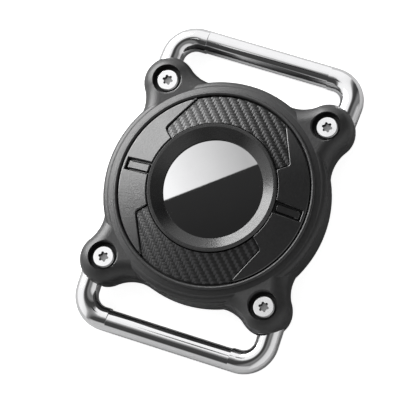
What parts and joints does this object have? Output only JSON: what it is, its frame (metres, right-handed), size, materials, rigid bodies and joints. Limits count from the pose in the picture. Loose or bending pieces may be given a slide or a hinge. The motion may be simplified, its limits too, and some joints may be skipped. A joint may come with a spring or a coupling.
{
  "type": "tracker tag holder",
  "caption": "Round black strap holder for a tracker tag, with a raised bezel over the tag, woven carbon insets and a bent steel rod loop at each end.",
  "frame": {"origin": "centre of the case's flat back", "axes": "+X across the case, +Y along the strap, +Z out of the face"},
  "size_m": [0.057, 0.0818, 0.0151],
  "materials": {
    "shell_plastic": "fine satin grain",
    "plate_plastic": "fine satin grain",
    "bezel_plastic": "smooth satin",
    "carbon": "woven carbon fibre under clear resin",
    "rod_steel": "polished",
    "screw_steel": "bright",
    "insert_brass": "machined",
    "seal_rubber": "matt",
    "cushion_foam": "matt",
    "tag_plastic": "glossy",
    "tag_steel": "mirror polished",
    "circuit_board": "lacquered",
    "tray_plastic": "moulded",
    "coil_copper": "enamelled wire",
    "magnet_metal": "plated",
    "cell_metal": "nickel plated"
  },
  "bodies": {
    "case": {"front_shell": "shell_plastic", "rear_shell": "shell_plastic", "face_plate": "plate_plastic", "carbon_inset_top": "carbon", "carbon_inset_bottom": "carbon", "bezel_ring": "bezel_plastic", "bezel_seal": "seal_rubber", "case_seal": "seal_rubber", "tag_cushion": "cushion_foam", "tag_housing": "tag_plastic", "tag_circuit_board": "circuit_board", "tag_magnet": "magnet_metal", "tag_voice_coil": "coil_copper", "tag_cell_tray": "tray_plastic", "tag_cell_contacts": "insert_brass", "tag_coin_cell": "cell_metal", "tag_steel_cover": "tag_steel", "case_screws": "screw_steel", "threaded_inserts": "insert_brass"},
    "loop_top": {"loop_top": "rod_steel"},
    "loop_bottom": {"loop_bottom": "rod_steel"}
  },
  "joints": [
    {"name": "loop_top_pivot", "type": "hinge", "parent": "case", "child": "loop_top", "pos_m": [0, 0.024, 0.0048], "axis": [1, 0, 0], "range_deg": [0, 9]},
    {"name": "loop_bottom_pivot", "type": "hinge", "parent": "case", "child": "loop_bottom", "pos_m": [0, -0.024, 0.0048], "axis": [-1, 0, 0], "range_deg": [0, 9]}
  ]
}
